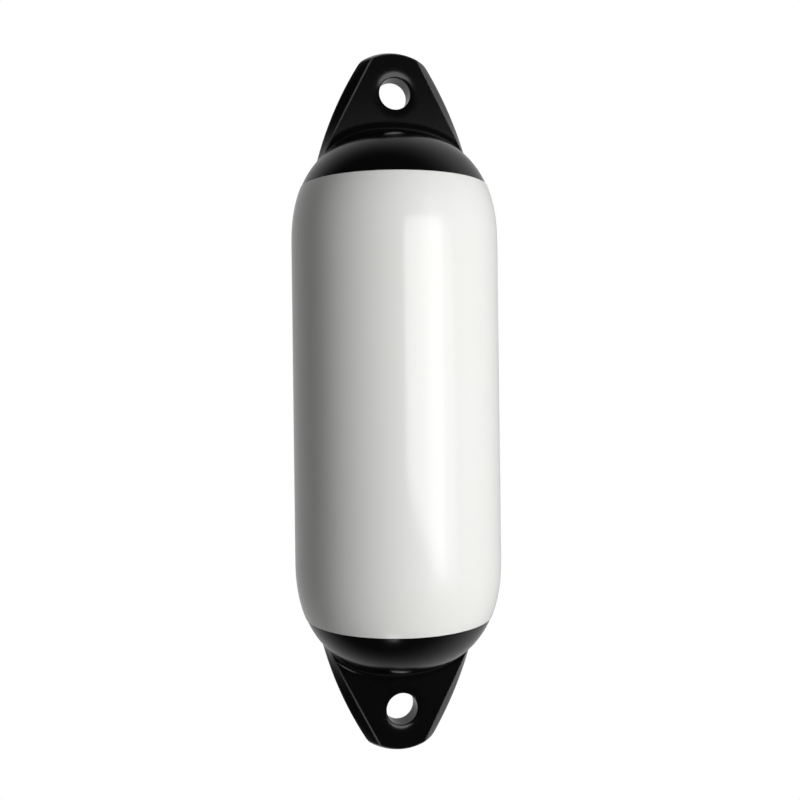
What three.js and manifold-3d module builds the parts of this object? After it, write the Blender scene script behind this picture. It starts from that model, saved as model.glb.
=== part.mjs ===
// Pneumatic boat fender: an inflated white tube, closed at each end by a black moulding with a rope eye.
// Lengths are in millimetres. Z runs up the fender's axis, Y runs through the rope eyes and away from the
// front, and the origin is the centre of the upper rope eye.

import * as THREE from 'three';
import { ConvexGeometry } from 'three/addons/geometries/ConvexGeometry.js';
import { ParametricGeometry } from 'three/addons/geometries/ParametricGeometry.js';
import { mergeVertices } from 'three/addons/utils/BufferGeometryUtils.js';
import Module from 'manifold-3d';

// Inflated body: a straight tube whose shoulders curve in towards the two seams
const BODY_DIAMETER = 160;
const BODY_WALL = 3;
const STRAIGHT_LENGTH = 240;
const SHOULDER_RISE = 88; // from the end of the straight part to the top of the dome
const SHOULDER_SQUARENESS = 2.4; // 2 is a plain ellipse, more is squarer
const SEAM_HEIGHT = 46; // from the end of the straight part to the seam
const RIM_ROUNDING = 1; // outer corner of the white rim at the seam

// Moulded end: a dome that continues the shoulder, with a spigot inside the body's mouth
const END_WALL = 6;
const RIM_STEP = 0.4; // the white rim stands this much proud of the black dome
const SPIGOT_LENGTH = 14;
const SPIGOT_WALL = 3.5;
const FIT_GAP = 0.3; // between pieces that meet

// Ear: a solid plate whose drafted flanks meet on a parting line at half thickness
const EAR_THICKNESS = 18;
const EYE_ABOVE_DOME = 30;
const EYE_TO_TIP = 33.5;
const TIP_ARC_RADIUS = 44;
const TIP_DRAFT = 3.4; // how far the face's edge lies inside the parting line, at the tip
const EAR_TOP_WIDTH = 52; // across the corners where the tip's arc meets the flanks
const FLANK_BULGE = 3.2; // of the parting line, out of a straight flank
const FLANK_DRAFT_TOP = 8.8; // how far the face's edge lies inside the parting line, at the tip's corners
const FLANK_DRAFT_FOOT = 1.8; // the same, where the flanks run out on the dome
const EAR_FOOT_DROP = 23; // from the dome's top down to where the flanks run out
const EAR_ROOT = 10; // how far the plate runs on inside the dome
const FOOT_FILLET = 9; // between the ear's faces and the dome

// Rope eye
const EYE_DIAMETER = 24.5;
const EYE_LIP_WIDTH = 7.25; // of the rounding around the eye, across the face
const EYE_LIP_DEPTH = 1.5; // of the same rounding, into the eye

// Inflation valve, in the back of the upper dome
const VALVE_FROM_SIDE = 38; // from the body's side in to the valve's centre
const VALVE_FLANGE_DIAMETER = 24;
const VALVE_FLANGE_THICKNESS = 2.4;
const VALVE_SINK = 0.7; // of the flange's face, below the top of the dome's curve
const VALVE_BARREL_DIAMETER = 18;
const VALVE_BARREL_LENGTH = 12;
const VALVE_BOSS_WALL = 5.5;
const VALVE_BOSS_LENGTH = 8; // from the middle of the dome's wall inwards
const SCREW_HEAD_DIAMETER = 12.2;
const SCREW_HEAD_THICKNESS = 2.2;
const SCREW_SHANK_DIAMETER = 8;
const SCREW_SHANK_LENGTH = 10;
const SCREW_TIP_CHAMFER = 1;
const SLOT_WIDTH = 1.8;
const SLOT_DEPTH = 1.4;
const SEAL_RING_SECTION = 1.6;

// Fineness of the curved surfaces
const ROUND_STEPS = 48;
const SMALL_ROUND_STEPS = 32;
const SHOULDER_STEPS = 7;
const DOME_STEPS = 10;
const RIM_STEPS = 3;
const TIP_STEPS = 10;
const FLANK_STEPS = 6;
const LIP_STEPS = 4;
const FILLET_STEPS = 5;
const FILLET_STATIONS = 28;
const RING_STEPS = 10;

// Heights from the middle of the fender
const STRAIGHT_END = STRAIGHT_LENGTH / 2;
const DOME_TOP = STRAIGHT_END + SHOULDER_RISE;
const SEAM = STRAIGHT_END + SEAM_HEIGHT;
const EYE_HEIGHT = DOME_TOP + EYE_ABOVE_DOME;
const TIP_HEIGHT = EYE_HEIGHT + EYE_TO_TIP;
const EAR_FOOT = DOME_TOP - EAR_FOOT_DROP;
const HALF_EAR = EAR_THICKNESS / 2;
const OVERCUT = 2; // how far a cutter runs past the face that it opens
const SINK = 0.2; // how far a joined form lies inside what it joins
const FILLET_ROOT = 3; // how deep the fillet's hidden root lies
const FILLET_FADE = 4; // the power with which the fillet's radius shrinks towards its ends
const ANGLE_TOLERANCE = 1e-9;

const wasm = await Module();
wasm.setup();

// Joins the shared vertices of a closed geometry, drops its empty triangles and makes it a solid.
function solidOf(geometry) {
  const bare = geometry.clone();
  bare.deleteAttribute('normal');
  bare.deleteAttribute('uv');
  const merged = mergeVertices(bare);
  const corners = merged.index.array;
  const triangles = [];
  for (let i = 0; i < corners.length; i += 3) {
    const [a, b, c] = corners.slice(i, i + 3);
    if (a !== b && b !== c && c !== a) {
      triangles.push(a, b, c);
    }
  }
  const mesh = new wasm.Mesh({
    numProp: 3,
    vertProperties: new Float32Array(merged.attributes.position.array),
    triVerts: new Uint32Array(triangles),
  });
  return new wasm.Manifold(mesh);
}

function geometryOf(solid) {
  const mesh = solid.getMesh();
  const geometry = new THREE.BufferGeometry();
  geometry.setAttribute('position', new THREE.BufferAttribute(new Float32Array(mesh.vertProperties), 3));
  geometry.setIndex(new THREE.BufferAttribute(new Uint32Array(mesh.triVerts), 1));
  geometry.computeVertexNormals();
  return geometry;
}

// A profile of (radius, height) points, spun about Z.
function turned(points, steps) {
  return new THREE.LatheGeometry(points, steps).rotateX(Math.PI / 2);
}

function cylinder(radius, bottom, top, steps) {
  return turned([
    new THREE.Vector2(0, bottom),
    new THREE.Vector2(radius, bottom),
    new THREE.Vector2(radius, top),
    new THREE.Vector2(0, top),
  ], steps);
}

// The shoulder's curve, moved inwards by inset: radius = a cos(t)^(2/n), height = b sin(t)^(2/n) above the
// straight part. It is upright where the straight part ends and level on the axis.
function shoulderPoint(inset, angle) {
  const power = 2 / SHOULDER_SQUARENESS;
  const across = Math.max(Math.cos(angle), 0) ** power;
  const up = Math.sin(angle) ** power;
  return new THREE.Vector2(
    (BODY_DIAMETER / 2 - inset) * across,
    STRAIGHT_END + (SHOULDER_RISE - inset) * up,
  );
}

function shoulderNormal(inset, angle) {
  const power = 2 - 2 / SHOULDER_SQUARENESS;
  return new THREE.Vector2(
    Math.max(Math.cos(angle), 0) ** power / (BODY_DIAMETER / 2 - inset),
    Math.sin(angle) ** power / (SHOULDER_RISE - inset),
  ).normalize();
}

function shoulderAngle(inset, height) {
  const share = (height - STRAIGHT_END) / (SHOULDER_RISE - inset);
  return Math.asin(share ** (SHOULDER_SQUARENESS / 2));
}

function shoulderRadius(inset, height) {
  return shoulderPoint(inset, shoulderAngle(inset, height)).x;
}

function shoulderCurve(inset, fromAngle, toAngle, steps) {
  return Array.from({ length: steps + 1 }, (_, i) => (
    shoulderPoint(inset, THREE.MathUtils.lerp(fromAngle, toAngle, i / steps))
  ));
}

// One half of a profile that is the same above and below the middle, and the other half, its mirror image.
function mirroredProfile(upper) {
  const lower = upper.map((point) => new THREE.Vector2(point.x, -point.y)).reverse();
  return [...lower, ...upper];
}

function bodyShell() {
  const rimAngle = shoulderAngle(0, SEAM - RIM_ROUNDING);
  const rimRadius = shoulderRadius(0, SEAM - RIM_ROUNDING);
  const outer = shoulderCurve(0, 0, rimAngle, SHOULDER_STEPS);
  for (let i = 1; i <= RIM_STEPS; i += 1) {
    const turn = (i / RIM_STEPS) * (Math.PI / 2);
    outer.push(new THREE.Vector2(
      rimRadius - RIM_ROUNDING * (1 - Math.cos(turn)),
      SEAM - RIM_ROUNDING * (1 - Math.sin(turn)),
    ));
  }
  const inner = shoulderCurve(BODY_WALL, 0, shoulderAngle(BODY_WALL, SEAM), SHOULDER_STEPS);
  const outside = mirroredProfile(outer);
  const inside = mirroredProfile(inner).reverse();
  return turned([...outside, ...inside, outside[0]], ROUND_STEPS);
}

// The end's outer form up to the dome's top, with the spigot that stands in the body's mouth.
function domeForm() {
  const spigotRadius = shoulderRadius(BODY_WALL, SEAM) - FIT_GAP;
  const seat = SEAM + FIT_GAP;
  const spigotEnd = seat - SPIGOT_LENGTH;
  return solidOf(turned([
    new THREE.Vector2(0, spigotEnd),
    new THREE.Vector2(spigotRadius, spigotEnd),
    new THREE.Vector2(spigotRadius, seat),
    ...shoulderCurve(RIM_STEP, shoulderAngle(RIM_STEP, seat), Math.PI / 2, DOME_STEPS),
  ], ROUND_STEPS));
}

// The air space inside the end: the dome less its wall, and the spigot's bore.
function domeCavity() {
  const boreRadius = shoulderRadius(BODY_WALL, SEAM) - FIT_GAP - SPIGOT_WALL;
  const wallInset = RIM_STEP + END_WALL;
  const boreTop = shoulderAngle(wallInset, SEAM);
  return solidOf(turned([
    new THREE.Vector2(0, SEAM - SPIGOT_LENGTH - OVERCUT),
    new THREE.Vector2(boreRadius, SEAM - SPIGOT_LENGTH - OVERCUT),
    new THREE.Vector2(boreRadius, SEAM),
    ...shoulderCurve(wallInset, boreTop, Math.PI / 2, DOME_STEPS),
  ], ROUND_STEPS));
}

// Half of an outline at one depth of the ear: along the tip's arc to its corner, and down the flank to the
// foot. The flank is an arc through its ends that stands out by bulge at its middle.
function earOutline(arcRadius, cornerX, footX, bulge, depth) {
  const arcCentre = TIP_HEIGHT - TIP_ARC_RADIUS;
  const cornerAngle = Math.asin(cornerX / arcRadius);
  const points = [];
  for (let i = 0; i <= TIP_STEPS; i += 1) {
    const angle = (i / TIP_STEPS) * cornerAngle;
    points.push([arcRadius * Math.sin(angle), arcCentre + arcRadius * Math.cos(angle)]);
  }
  const cornerZ = arcCentre + arcRadius * Math.cos(cornerAngle);
  const length = Math.hypot(footX - cornerX, cornerZ - EAR_FOOT);
  const outward = [(cornerZ - EAR_FOOT) / length, (footX - cornerX) / length];
  for (let i = 1; i <= FLANK_STEPS; i += 1) {
    const share = i / FLANK_STEPS;
    const stand = 4 * bulge * share * (1 - share);
    points.push([
      THREE.MathUtils.lerp(cornerX, footX, share) + stand * outward[0],
      THREE.MathUtils.lerp(cornerZ, EAR_FOOT, share) + stand * outward[1],
    ]);
  }
  points.push([footX, EAR_FOOT - EAR_ROOT]);
  return points.flatMap(([x, z]) => [
    new THREE.Vector3(x, depth, z),
    new THREE.Vector3(-x, depth, z),
  ]);
}

function earPlate() {
  const topX = EAR_TOP_WIDTH / 2;
  const footX = shoulderRadius(RIM_STEP, EAR_FOOT);
  const parting = earOutline(TIP_ARC_RADIUS, topX, footX, FLANK_BULGE, 0);
  const faces = [-HALF_EAR, HALF_EAR].flatMap((depth) => earOutline(
    TIP_ARC_RADIUS - TIP_DRAFT,
    topX - FLANK_DRAFT_TOP,
    footX - FLANK_DRAFT_FOOT,
    0,
    depth,
  ));
  return solidOf(new ConvexGeometry([...parting, ...faces]));
}

// The fillet along one foot of the ear, as a ball of the fillet's radius leaves it when it rolls in the
// corner between the ear's face and the dome. Each section is the ball's arc closed through a root point
// inside the dome, and the two end sections shrink to that point.
function footFillet(side) {
  const reach = shoulderRadius(RIM_STEP, EAR_FOOT) - FLANK_DRAFT_FOOT;
  const face = HALF_EAR - SINK;
  const inset = RIM_STEP + SINK;
  const ring = FILLET_STEPS + 2;
  const place = (u, v, target) => {
    const x = reach * Math.sin((u - 0.5) * Math.PI);
    const radius = FOOT_FILLET * Math.sqrt(Math.max(1 - (x / reach) ** FILLET_FADE, 0));
    const centreRadius = Math.hypot(x, face + radius);
    let low = 0;
    let high = Math.PI / 2;
    while (high - low > ANGLE_TOLERANCE) {
      const middle = (low + high) / 2;
      const point = shoulderPoint(inset, middle);
      const normal = shoulderNormal(inset, middle);
      if (point.x + radius * normal.x > centreRadius) {
        low = middle;
      } else {
        high = middle;
      }
    }
    const point = shoulderPoint(inset, low);
    const normal = shoulderNormal(inset, low);
    const centre = new THREE.Vector3(x, face + radius, point.y + radius * normal.y);
    const root = new THREE.Vector3(x, face - FILLET_ROOT, point.y - FILLET_ROOT);
    const step = Math.round(v * ring);
    const atEnd = u < ANGLE_TOLERANCE || u > 1 - ANGLE_TOLERANCE;
    if (step === 0 || step === ring || atEnd) {
      target.copy(root);
    } else {
      const toFace = new THREE.Vector3(0, -1, 0);
      const toDome = new THREE.Vector3(
        -normal.x * (x / centreRadius),
        -normal.x * (centre.y / centreRadius),
        -normal.y,
      );
      const spread = toFace.angleTo(toDome);
      const share = (step - 1) / FILLET_STEPS;
      toFace.multiplyScalar(Math.sin((1 - share) * spread) / Math.sin(spread));
      toDome.multiplyScalar(Math.sin(share * spread) / Math.sin(spread));
      target.copy(centre).addScaledVector(toFace.add(toDome), radius);
    }
  };
  const geometry = new ParametricGeometry(place, FILLET_STATIONS, ring);
  if (side < 0) {
    geometry.rotateZ(Math.PI);
  }
  return solidOf(geometry);
}

// The cutter for the rope eye: the eye's bore with a quarter-elliptic rounding at each face.
function eyeCutter() {
  const bore = EYE_DIAMETER / 2;
  const lip = Array.from({ length: LIP_STEPS + 1 }, (_, i) => {
    const angle = (i / LIP_STEPS) * (Math.PI / 2);
    return new THREE.Vector2(
      bore + EYE_LIP_WIDTH * (1 - Math.cos(angle)),
      HALF_EAR - EYE_LIP_DEPTH * (1 - Math.sin(angle)),
    );
  });
  const mouth = new THREE.Vector2(bore + EYE_LIP_WIDTH, HALF_EAR + OVERCUT);
  const half = [...lip, mouth, new THREE.Vector2(0, HALF_EAR + OVERCUT)];
  const cutter = new THREE.LatheGeometry(mirroredProfile(half), ROUND_STEPS);
  return solidOf(cutter.translate(0, 0, EYE_HEIGHT));
}

// The valve's axis: square to the dome's surface, VALVE_FROM_SIDE in from the body's side.
function valveSeat() {
  const offset = BODY_DIAMETER / 2 - VALVE_FROM_SIDE;
  const share = (offset / (BODY_DIAMETER / 2 - RIM_STEP)) ** (SHOULDER_SQUARENESS / 2);
  const angle = Math.acos(share);
  const point = shoulderPoint(RIM_STEP, angle);
  const normal = shoulderNormal(RIM_STEP, angle);
  return {
    position: new THREE.Vector3(0, point.x, point.y),
    tilt: Math.atan2(normal.x, normal.y),
  };
}

const FLANGE_FACE = -VALVE_SINK;
const FLANGE_BACK = FLANGE_FACE - VALVE_FLANGE_THICKNESS;
const BARREL_END = FLANGE_BACK - VALVE_BARREL_LENGTH;
const HEAD_TOP = FLANGE_FACE - FIT_GAP;
const HEAD_BACK = HEAD_TOP - SCREW_HEAD_THICKNESS;
const RING_CENTRE = HEAD_BACK - FIT_GAP - SEAL_RING_SECTION / 2;
const HEAD_SEAT = RING_CENTRE - SEAL_RING_SECTION / 2 - FIT_GAP;
const SHANK_RADIUS = SCREW_SHANK_DIAMETER / 2;
const VALVE_BORE = SHANK_RADIUS + FIT_GAP;

function atValve(geometry) {
  const seat = valveSeat();
  return solidOf(geometry.rotateX(-seat.tilt).translate(0, seat.position.y, seat.position.z));
}

function valveBoss() {
  const radius = VALVE_BARREL_DIAMETER / 2 + FIT_GAP + VALVE_BOSS_WALL;
  const top = -END_WALL / 2;
  return atValve(cylinder(radius, top - VALVE_BOSS_LENGTH, top, SMALL_ROUND_STEPS));
}

function valveHole() {
  const boreRadius = VALVE_BARREL_DIAMETER / 2 + FIT_GAP;
  const recessRadius = VALVE_FLANGE_DIAMETER / 2 + FIT_GAP;
  const floor = FLANGE_BACK - FIT_GAP;
  const deep = -END_WALL / 2 - VALVE_BOSS_LENGTH - OVERCUT;
  return atValve(turned([
    new THREE.Vector2(0, deep),
    new THREE.Vector2(boreRadius, deep),
    new THREE.Vector2(boreRadius, floor),
    new THREE.Vector2(recessRadius, floor),
    new THREE.Vector2(recessRadius, OVERCUT),
    new THREE.Vector2(0, OVERCUT),
  ], SMALL_ROUND_STEPS));
}

// One moulded end. Only the end that carries the valve has its boss and hole.
function mouldedEnd(withValve) {
  let end = domeForm().add(earPlate());
  for (const side of [-1, 1]) {
    end = end.add(footFillet(side));
  }
  end = end.subtract(domeCavity());
  if (withValve) {
    end = end.add(valveBoss()).subtract(valveHole());
  }
  return geometryOf(end.subtract(eyeCutter()));
}

// The bush that is moulded into the dome: a flange at the surface and a barrel down through the boss.
function valveBody() {
  const barrel = VALVE_BARREL_DIAMETER / 2;
  const flange = VALVE_FLANGE_DIAMETER / 2;
  const headBore = SCREW_HEAD_DIAMETER / 2 + FIT_GAP;
  const profile = [
    new THREE.Vector2(VALVE_BORE, BARREL_END),
    new THREE.Vector2(barrel, BARREL_END),
    new THREE.Vector2(barrel, FLANGE_BACK),
    new THREE.Vector2(flange, FLANGE_BACK),
    new THREE.Vector2(flange, FLANGE_FACE),
    new THREE.Vector2(headBore, FLANGE_FACE),
    new THREE.Vector2(headBore, HEAD_SEAT),
    new THREE.Vector2(VALVE_BORE, HEAD_SEAT),
  ];
  return turned([...profile, profile[0]], SMALL_ROUND_STEPS);
}

// The plug that closes the bush, with a slot for a coin or a screwdriver across its head.
function valveScrew() {
  const head = SCREW_HEAD_DIAMETER / 2;
  const shankEnd = HEAD_BACK - SCREW_SHANK_LENGTH;
  const plug = solidOf(turned([
    new THREE.Vector2(0, shankEnd),
    new THREE.Vector2(SHANK_RADIUS - SCREW_TIP_CHAMFER, shankEnd),
    new THREE.Vector2(SHANK_RADIUS, shankEnd + SCREW_TIP_CHAMFER),
    new THREE.Vector2(SHANK_RADIUS, HEAD_BACK),
    new THREE.Vector2(head, HEAD_BACK),
    new THREE.Vector2(head, HEAD_TOP),
    new THREE.Vector2(0, HEAD_TOP),
  ], SMALL_ROUND_STEPS));
  const slot = new THREE.BoxGeometry(SCREW_HEAD_DIAMETER + OVERCUT, SLOT_WIDTH, 2 * SLOT_DEPTH);
  return geometryOf(plug.subtract(solidOf(slot.translate(0, 0, HEAD_TOP))));
}

function sealRing() {
  const section = SEAL_RING_SECTION / 2;
  const geometry = new THREE.TorusGeometry(VALVE_BORE + section, section, RING_STEPS, SMALL_ROUND_STEPS);
  return geometry.translate(0, 0, RING_CENTRE);
}

const whiteVinyl = new THREE.MeshStandardMaterial({ color: 0xf3f3ef, roughness: 0.18, metalness: 0 });
const blackVinyl = new THREE.MeshStandardMaterial({ color: 0x101113, roughness: 0.38, metalness: 0 });
const bushNylon = new THREE.MeshStandardMaterial({ color: 0x2b2d30, roughness: 0.45, metalness: 0 });
const plugAcetal = new THREE.MeshStandardMaterial({ color: 0xd9d8d2, roughness: 0.35, metalness: 0 });
const sealRubber = new THREE.MeshStandardMaterial({ color: 0x17181a, roughness: 0.7, metalness: 0 });

function named(name, geometry, material) {
  const mesh = new THREE.Mesh(geometry, material);
  mesh.name = name;
  return mesh;
}

const bottomEnd = named('bottom_end', mouldedEnd(false), blackVinyl);
bottomEnd.rotation.y = Math.PI;

const valve = new THREE.Group();
valve.position.copy(valveSeat().position);
valve.rotation.x = -valveSeat().tilt;
valve.add(
  named('valve_body', valveBody(), bushNylon),
  named('valve_screw', valveScrew(), plugAcetal),
  named('valve_seal_ring', sealRing(), sealRubber),
);

const fender = new THREE.Group();
fender.position.z = -EYE_HEIGHT;
fender.add(
  named('body_shell', bodyShell(), whiteVinyl),
  named('top_end', mouldedEnd(true), blackVinyl),
  bottomEnd,
  valve,
);

export default fender;
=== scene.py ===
"""Pneumatic boat fender: its smooth vinyl surfaces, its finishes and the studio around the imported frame.

Lengths are in metres. The frame's origin is the centre of the upper rope eye, +Z runs up the fender's axis
and +Y away from the front, to the side that carries the inflation valve.
"""

import math
from collections import namedtuple

import bmesh
import bpy
import numpy as np
from mathutils import Euler, Matrix, Vector


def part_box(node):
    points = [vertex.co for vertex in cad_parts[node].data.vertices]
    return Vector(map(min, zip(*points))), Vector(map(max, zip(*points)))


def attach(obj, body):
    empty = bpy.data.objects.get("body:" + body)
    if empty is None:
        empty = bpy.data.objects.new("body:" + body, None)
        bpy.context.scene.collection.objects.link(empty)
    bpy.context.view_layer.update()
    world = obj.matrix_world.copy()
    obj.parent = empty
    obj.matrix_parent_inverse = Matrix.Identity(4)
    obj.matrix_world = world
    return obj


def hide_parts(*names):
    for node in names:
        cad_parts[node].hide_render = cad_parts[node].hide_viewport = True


bl_info = {
    "name": "Pneumatic fender",
    "version": (1, 0, 0),
    "blender": (4, 5, 0),
    "location": "3D View > Sidebar > Fender",
    "description": "Builds an inflatable boat fender with two moulded ends and an inflation valve",
    "category": "Add Mesh",
}

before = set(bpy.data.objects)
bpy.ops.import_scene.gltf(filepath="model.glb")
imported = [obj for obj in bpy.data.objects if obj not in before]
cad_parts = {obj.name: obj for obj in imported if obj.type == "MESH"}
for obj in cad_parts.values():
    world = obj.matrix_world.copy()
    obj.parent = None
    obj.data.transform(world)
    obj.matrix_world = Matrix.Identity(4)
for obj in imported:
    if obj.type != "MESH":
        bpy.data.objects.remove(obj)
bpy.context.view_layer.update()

MM = 0.001
PANEL_TAB = "Fender"

BODY_LOW, BODY_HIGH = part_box("body_shell")
TIP_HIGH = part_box("top_end")[1].z
MIDDLE = (BODY_LOW.z + BODY_HIGH.z) / 2
TIP_ABOVE_MIDDLE = TIP_HIGH - MIDDLE
LOWER_TIP = min(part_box(name)[0].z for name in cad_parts)

# How finely the surfaces are divided
BODY_TURN_STEPS = 224
VALVE_TURN_STEPS = 96
OUTER_SHOULDER_POINTS = 40
INNER_SHOULDER_POINTS = 24
STRAIGHT_POINTS = 25
TIP_COLUMNS = 26
FLANK_COLUMNS = 36
FOOT_COLUMNS = 14
SEAM_COLUMNS = 48
END_RINGS = 132
LIP_STEPS = 14
THROAT_STEPS = 4
CAVITY_POINTS = 32
SHANK_ROWS = 120
RING_SECTION_STEPS = 32

# How the moulded end's rings are spread: over a finer trial run of them, by how far each step goes and, with
# this weight, by how far it turns. Depths are found by halving a range this often.
TRIAL_RINGS = 700
TURNING_WEIGHT = 0.55
HALVINGS = 46

# How far past the points that are aimed at the end's real outline is looked for
OUTLINE_SEARCH = 8 * MM

# Edges sharper than these are drawn sharp
END_SHARP_ANGLE = math.radians(40)
VALVE_SHARP_ANGLE = math.radians(50)

# Roundings, one radius for each point of the profile that they belong to
INNER_RIM_ROUNDING = 0.4 * MM
SPIGOT_ROUNDINGS = np.array([0, 0, 0.8, 0.8, 0, 0]) * MM
BUSH_ROUNDINGS = np.array([0, 0.3, 0.3, 0.6, 0.4, 0.2, 0.2, 0.3, 0.4, 0]) * MM
HEAD_ROUNDINGS = np.array([0, 0.4, 0.3, 0]) * MM
SLOT_ROUNDINGS = np.array([0, 0, 0.3, 0]) * MM

SHANK_CHAMFER = 1 * MM
THREAD_FADE = 0.5 * MM

# How far a form that is cut out of a piece reaches past the piece's surface
CUTTER_OVERSHOOT = 2 * MM

# Points that agree to this many decimals are one vertex
WELD_DECIMALS = 8

# Least values, so that nothing is divided by 0
TINY = 1e-9
FLATTEST_CORNER = 1e-4


# Sizes and colours


class FenderBodySizes(bpy.types.PropertyGroup):
    """The inflated body between the two seams."""

    radius: bpy.props.FloatProperty(
        name="Body radius", description="Radius of the inflated body", default=BODY_HIGH.x, unit="LENGTH"
    )
    half_straight: bpy.props.FloatProperty(
        name="Half straight length",
        description="From the body's middle to where its shoulders start",
        default=120 * MM,
        unit="LENGTH",
    )
    rise: bpy.props.FloatProperty(
        name="Shoulder rise",
        description="From the start of the shoulder to the top of the dome",
        default=88 * MM,
        unit="LENGTH",
    )
    squareness: bpy.props.FloatProperty(
        name="Shoulder squareness", description="2 is a plain ellipse, more is squarer", default=2.4
    )
    seam: bpy.props.FloatProperty(
        name="Seam height",
        description="From the body's middle to its rim",
        default=BODY_HIGH.z - MIDDLE,
        unit="LENGTH",
    )
    wall: bpy.props.FloatProperty(
        name="Wall", description="Thickness of the vinyl wall", default=3 * MM, unit="LENGTH"
    )
    rim_rounding: bpy.props.FloatProperty(
        name="Rim rounding", description="Radius of the rim's outer corner", default=1 * MM, unit="LENGTH"
    )


class FenderEndSizes(bpy.types.PropertyGroup):
    """The black mouldings with the rope eyes."""

    rim_step: bpy.props.FloatProperty(
        name="Rim step",
        description="How far the dome lies inside the body's curve",
        default=0.4 * MM,
        unit="LENGTH",
    )
    gap: bpy.props.FloatProperty(
        name="Fit gap", description="Between the moulding and the body", default=0.3 * MM, unit="LENGTH"
    )
    wall: bpy.props.FloatProperty(
        name="Dome wall", description="Thickness of the dome", default=6 * MM, unit="LENGTH"
    )
    spigot_length: bpy.props.FloatProperty(
        name="Spigot length", description="Of the sleeve inside the body", default=14 * MM, unit="LENGTH"
    )
    spigot_wall: bpy.props.FloatProperty(
        name="Spigot wall", description="Thickness of that sleeve", default=3.5 * MM, unit="LENGTH"
    )
    half_ear: bpy.props.FloatProperty(
        name="Half ear", description="Half of the ear's thickness", default=9 * MM, unit="LENGTH"
    )
    tip_radius: bpy.props.FloatProperty(
        name="Tip radius", description="Of the arc over the ear's tip", default=44 * MM, unit="LENGTH"
    )
    tip_draft: bpy.props.FloatProperty(
        name="Tip draft",
        description="How far the face's edge lies inside the parting line at the tip",
        default=3.4 * MM,
        unit="LENGTH",
    )
    top_width: bpy.props.FloatProperty(
        name="Ear's top width",
        description="Across the corners where the tip's arc meets the flanks",
        default=52 * MM,
        unit="LENGTH",
    )
    flank_bulge: bpy.props.FloatProperty(
        name="Flank bulge", description="Of the parting line on the flank", default=3.2 * MM, unit="LENGTH"
    )
    flank_draft_top: bpy.props.FloatProperty(
        name="Flank draft at the tip",
        description="How far the face's edge lies inside the parting line at the corners",
        default=8.8 * MM,
        unit="LENGTH",
    )
    flank_draft_foot: bpy.props.FloatProperty(
        name="Flank draft at the foot",
        description="The same where the flanks run out on the dome",
        default=1.8 * MM,
        unit="LENGTH",
    )
    foot_drop: bpy.props.FloatProperty(
        name="Foot drop",
        description="From the dome's top down to where the flanks run out",
        default=23 * MM,
        unit="LENGTH",
    )
    fillet: bpy.props.FloatProperty(
        name="Foot fillet",
        description="Radius between the ear's faces and the dome",
        default=9 * MM,
        unit="LENGTH",
    )
    crease: bpy.props.FloatProperty(
        name="Crease rounding", description="Rounding of the ear's edges", default=0.8 * MM, unit="LENGTH"
    )
    eye_radius: bpy.props.FloatProperty(
        name="Eye radius", description="Radius of the rope eye's throat", default=12.25 * MM, unit="LENGTH"
    )
    lip_width: bpy.props.FloatProperty(
        name="Lip width", description="Of the rounding around the eye", default=7.25 * MM, unit="LENGTH"
    )
    lip_depth: bpy.props.FloatProperty(
        name="Lip depth", description="Of that rounding, into the eye", default=1.5 * MM, unit="LENGTH"
    )


class FenderValveSizes(bpy.types.PropertyGroup):
    """The inflation valve in the back of the upper dome."""

    offset: bpy.props.FloatProperty(
        name="Valve offset", description="From the fender's axis", default=42 * MM, unit="LENGTH"
    )
    sink: bpy.props.FloatProperty(
        name="Flange sink",
        description="Of the flange below the dome's curve",
        default=0.7 * MM,
        unit="LENGTH",
    )
    flange_radius: bpy.props.FloatProperty(
        name="Flange radius", description="Radius of the bush's flange", default=12 * MM, unit="LENGTH"
    )
    flange_thickness: bpy.props.FloatProperty(
        name="Flange thickness", description="Of the bush's flange", default=2.4 * MM, unit="LENGTH"
    )
    barrel_radius: bpy.props.FloatProperty(
        name="Barrel radius", description="Radius of the bush's barrel", default=9 * MM, unit="LENGTH"
    )
    barrel_length: bpy.props.FloatProperty(
        name="Barrel length", description="Of the bush below its flange", default=12 * MM, unit="LENGTH"
    )
    boss_wall: bpy.props.FloatProperty(
        name="Boss wall", description="Of vinyl around the barrel", default=5.5 * MM, unit="LENGTH"
    )
    boss_length: bpy.props.FloatProperty(
        name="Boss length", description="From the middle of the dome's wall", default=8 * MM, unit="LENGTH"
    )
    head_radius: bpy.props.FloatProperty(
        name="Head radius", description="Radius of the plug's head", default=6.1 * MM, unit="LENGTH"
    )
    head_thickness: bpy.props.FloatProperty(
        name="Head thickness", description="Of the plug's head", default=2.2 * MM, unit="LENGTH"
    )
    shank_radius: bpy.props.FloatProperty(
        name="Shank radius", description="Radius of the plug's shank", default=4 * MM, unit="LENGTH"
    )
    shank_length: bpy.props.FloatProperty(
        name="Shank length", description="Of the plug's shank", default=10 * MM, unit="LENGTH"
    )
    thread_pitch: bpy.props.FloatProperty(
        name="Thread pitch", description="Lift of the plug in one turn", default=1.5 * MM, unit="LENGTH"
    )
    thread_depth: bpy.props.FloatProperty(
        name="Thread depth", description="Of the plug's thread", default=0.35 * MM, unit="LENGTH"
    )
    slot_width: bpy.props.FloatProperty(
        name="Slot width", description="Of the coin slot", default=1.8 * MM, unit="LENGTH"
    )
    slot_depth: bpy.props.FloatProperty(
        name="Slot depth", description="Of the coin slot", default=1.4 * MM, unit="LENGTH"
    )
    ring_section: bpy.props.FloatProperty(
        name="Ring section", description="Thickness of the seal ring", default=1.6 * MM, unit="LENGTH"
    )


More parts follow.
